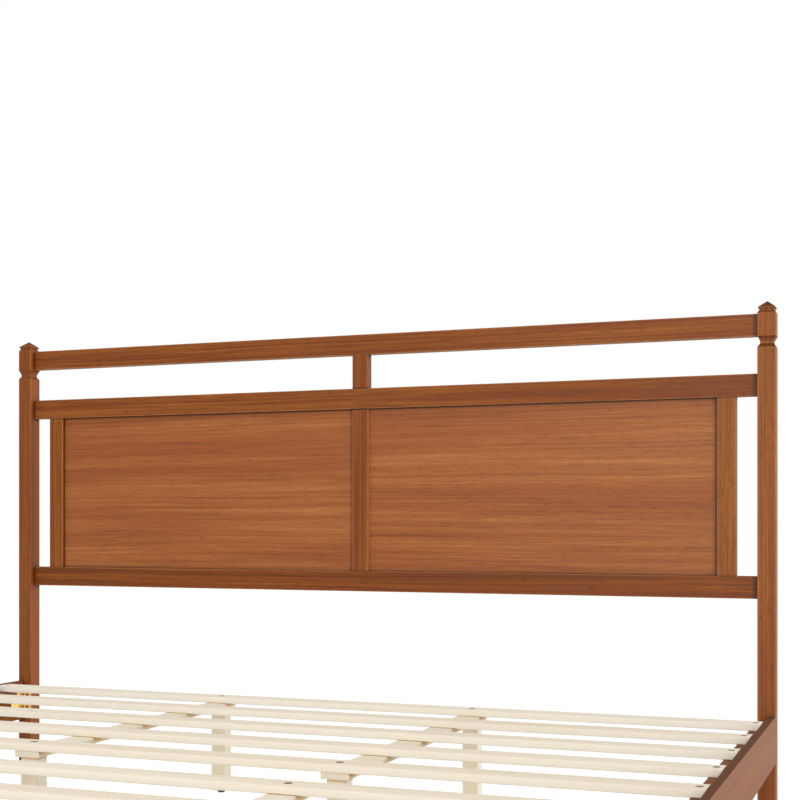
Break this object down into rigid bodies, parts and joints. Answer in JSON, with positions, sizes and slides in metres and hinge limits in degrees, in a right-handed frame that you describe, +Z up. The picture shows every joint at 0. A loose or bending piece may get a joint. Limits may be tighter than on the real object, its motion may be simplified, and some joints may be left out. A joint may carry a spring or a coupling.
{
  "type": "platform bed",
  "caption": "Wooden platform bed with shaped square head posts, a framed and panelled headboard, screwed slats, support beams and centre legs on levelling feet.",
  "frame": {"origin": "on the floor, at the middle of the bed's width and length", "axes": "+X to the right of someone who stands at the foot and looks at the headboard, +Y from the foot to the headboard, +Z up"},
  "size_m": [1.986, 2.08, 1.154],
  "materials": {
    "stained_wood": "reddish brown stain under a satin lacquer",
    "stained_panel_wood": "reddish brown stain under a satin lacquer, grain across the panel",
    "pale_wood": "planed pale softwood, unfinished",
    "gold_plated_steel": "gold coloured passivated steel",
    "dark_steel": "darkened steel",
    "insert_steel": "bright zinc plate",
    "black_plastic": "moulded, satin"
  },
  "bodies": {
    "bed": {"bracket_post_screws": "dark_steel", "bracket_rail_screws": "dark_steel", "cleat_screws": "dark_steel", "foot_bracket_left": "gold_plated_steel", "foot_bracket_right": "gold_plated_steel", "foot_post_left": "stained_wood", "foot_post_right": "stained_wood", "foot_rail": "stained_wood", "head_bracket_left": "gold_plated_steel", "head_bracket_right": "gold_plated_steel", "head_post_left": "stained_wood", "head_post_right": "stained_wood", "headboard_centre_stile": "stained_wood", "headboard_centre_strut": "stained_wood", "headboard_left_panel": "stained_panel_wood", "headboard_left_stile": "stained_wood", "headboard_lower_rail": "stained_wood", "headboard_middle_rail": "stained_wood", "headboard_right_panel": "stained_panel_wood", "headboard_right_stile": "stained_wood", "headboard_top_rail": "stained_wood", "leg_bolts": "dark_steel", "leg_inserts": "insert_steel", "post_glides": "black_plastic", "side_rail_left": "stained_wood", "side_rail_right": "stained_wood", "slat_01": "pale_wood", "slat_02": "pale_wood", "slat_03": "pale_wood", "slat_04": "pale_wood", "slat_05": "pale_wood", "slat_06": "pale_wood", "slat_07": "pale_wood", "slat_08": "pale_wood", "slat_09": "pale_wood", "slat_10": "pale_wood", "slat_cleat_left": "stained_wood", "slat_cleat_right": "stained_wood", "slat_screws": "dark_steel", "support_beam_left_foot": "pale_wood", "support_beam_left_head": "pale_wood", "support_beam_right_foot": "pale_wood", "support_beam_right_head": "pale_wood", "support_leg_left_1": "pale_wood", "support_leg_left_2": "pale_wood", "support_leg_left_3": "pale_wood", "support_leg_left_4": "pale_wood", "support_leg_right_1": "pale_wood", "support_leg_right_2": "pale_wood", "support_leg_right_3": "pale_wood", "support_leg_right_4": "pale_wood"},
    "levelling_foot_left_1": {"levelling_foot_left_1": "black_plastic"},
    "levelling_foot_left_2": {"levelling_foot_left_2": "black_plastic"},
    "levelling_foot_left_3": {"levelling_foot_left_3": "black_plastic"},
    "levelling_foot_left_4": {"levelling_foot_left_4": "black_plastic"},
    "levelling_foot_right_1": {"levelling_foot_right_1": "black_plastic"},
    "levelling_foot_right_2": {"levelling_foot_right_2": "black_plastic"},
    "levelling_foot_right_3": {"levelling_foot_right_3": "black_plastic"},
    "levelling_foot_right_4": {"levelling_foot_right_4": "black_plastic"}
  },
  "joints": [
    {"name": "levelling_foot_left_1_travel", "type": "slide", "parent": "bed", "child": "levelling_foot_left_1", "axis": [0, 0, -1], "range_m": [0, 0.012]},
    {"name": "levelling_foot_left_2_travel", "type": "slide", "parent": "bed", "child": "levelling_foot_left_2", "axis": [0, 0, -1], "range_m": [0, 0.012]},
    {"name": "levelling_foot_left_3_travel", "type": "slide", "parent": "bed", "child": "levelling_foot_left_3", "axis": [0, 0, -1], "range_m": [0, 0.012]},
    {"name": "levelling_foot_left_4_travel", "type": "slide", "parent": "bed", "child": "levelling_foot_left_4", "axis": [0, 0, -1], "range_m": [0, 0.012]},
    {"name": "levelling_foot_right_1_travel", "type": "slide", "parent": "bed", "child": "levelling_foot_right_1", "axis": [0, 0, -1], "range_m": [0, 0.012]},
    {"name": "levelling_foot_right_2_travel", "type": "slide", "parent": "bed", "child": "levelling_foot_right_2", "axis": [0, 0, -1], "range_m": [0, 0.012]},
    {"name": "levelling_foot_right_3_travel", "type": "slide", "parent": "bed", "child": "levelling_foot_right_3", "axis": [0, 0, -1], "range_m": [0, 0.012]},
    {"name": "levelling_foot_right_4_travel", "type": "slide", "parent": "bed", "child": "levelling_foot_right_4", "axis": [0, 0, -1], "range_m": [0, 0.012]}
  ]
}
